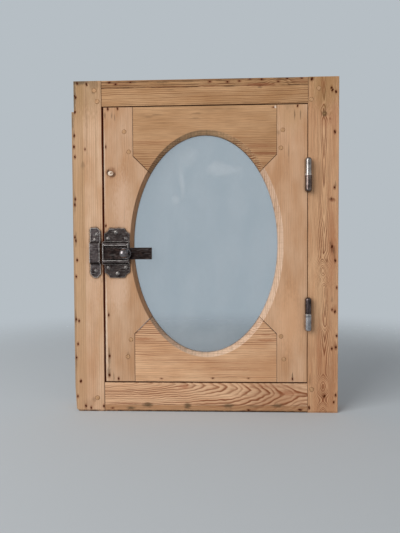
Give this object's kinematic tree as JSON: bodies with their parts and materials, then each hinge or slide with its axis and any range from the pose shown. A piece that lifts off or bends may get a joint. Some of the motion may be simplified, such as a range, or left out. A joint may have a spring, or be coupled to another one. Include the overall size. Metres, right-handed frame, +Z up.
{
  "type": "casement window with an oval light",
  "caption": "Small pine casement window in its frame, an inset sash with an oval glazed light, lift-off hinges and a surface slide bolt.",
  "frame": {"origin": "middle of the frame's bottom face", "axes": "+Z up, +Y away from the side with the bolt and the hinge barrels, +X to the right seen from that side"},
  "size_m": [0.48, 0.0765, 0.602],
  "materials": {
    "pine_frame_left_stile": "stripped pine, dry and matt",
    "pine_frame_right_stile": "stripped pine, dry and matt",
    "pine_frame_head_rail": "stripped pine, dry and matt",
    "pine_frame_bottom_rail": "stripped pine, dry and matt",
    "peg_wood": "end grain of whittled pegs",
    "keeper_iron": "worn dark iron",
    "latch_screw_steel": "worn steel",
    "hinge_dark_steel": "dark steel",
    "hinge_grey_steel": "grey steel",
    "hinge_pin_steel": "steel",
    "washer_steel": "bright steel",
    "hinge_screw_steel": "steel",
    "pine_sash_left_stile": "stripped pine, dry and matt",
    "pine_sash_right_stile": "stripped pine, dry and matt",
    "pine_sash_top_rail": "stripped pine, dry and matt",
    "pine_sash_bottom_rail": "stripped pine, dry and matt",
    "plug_wood": "pale end grain",
    "window_glass": "old clear sheet glass",
    "linseed_putty": "hard matt linseed putty",
    "plate_iron": "worn dark iron",
    "case_iron": "worn dark iron with bright edges",
    "hinge_bright_steel": "worn bright steel",
    "hinge_black_steel": "dark steel",
    "bolt_iron": "dark brown iron",
    "knob_iron": "worn dark steel, polished by hands"
  },
  "bodies": {
    "frame": {"frame_left_stile": "pine_frame_left_stile", "frame_right_stile": "pine_frame_right_stile", "frame_head_rail": "pine_frame_head_rail", "frame_bottom_rail": "pine_frame_bottom_rail", "frame_pegs": "peg_wood", "keeper": "keeper_iron", "keeper_screws": "latch_screw_steel", "keeper_nail": "latch_screw_steel", "upper_hinge_frame_half": "hinge_dark_steel", "lower_hinge_frame_half": "hinge_grey_steel", "hinge_pins": "hinge_pin_steel", "hinge_washers": "washer_steel", "hinge_frame_screws": "hinge_screw_steel"},
    "sash": {"sash_left_stile": "pine_sash_left_stile", "sash_right_stile": "pine_sash_right_stile", "sash_top_rail": "pine_sash_top_rail", "sash_bottom_rail": "pine_sash_bottom_rail", "sash_pegs": "peg_wood", "stile_plug": "plug_wood", "glass": "window_glass", "putty": "linseed_putty", "latch_plate": "plate_iron", "latch_case": "case_iron", "latch_screws": "latch_screw_steel", "upper_hinge_sash_half": "hinge_bright_steel", "lower_hinge_sash_half": "hinge_black_steel", "hinge_sash_screws": "hinge_screw_steel"},
    "bolt": {"bolt_bar": "bolt_iron", "bolt_knob": "knob_iron"}
  },
  "joints": [
    {"name": "sash_hinge", "type": "hinge", "parent": "frame", "child": "sash", "pos_m": [0.1849, -0.029, 0.3049], "axis": [0, 0, 1], "range_deg": [0, 170]},
    {"name": "bolt_slide", "type": "slide", "parent": "sash", "child": "bolt", "axis": [1, 0, 0], "range_m": [-0.0371, 0]}
  ]
}
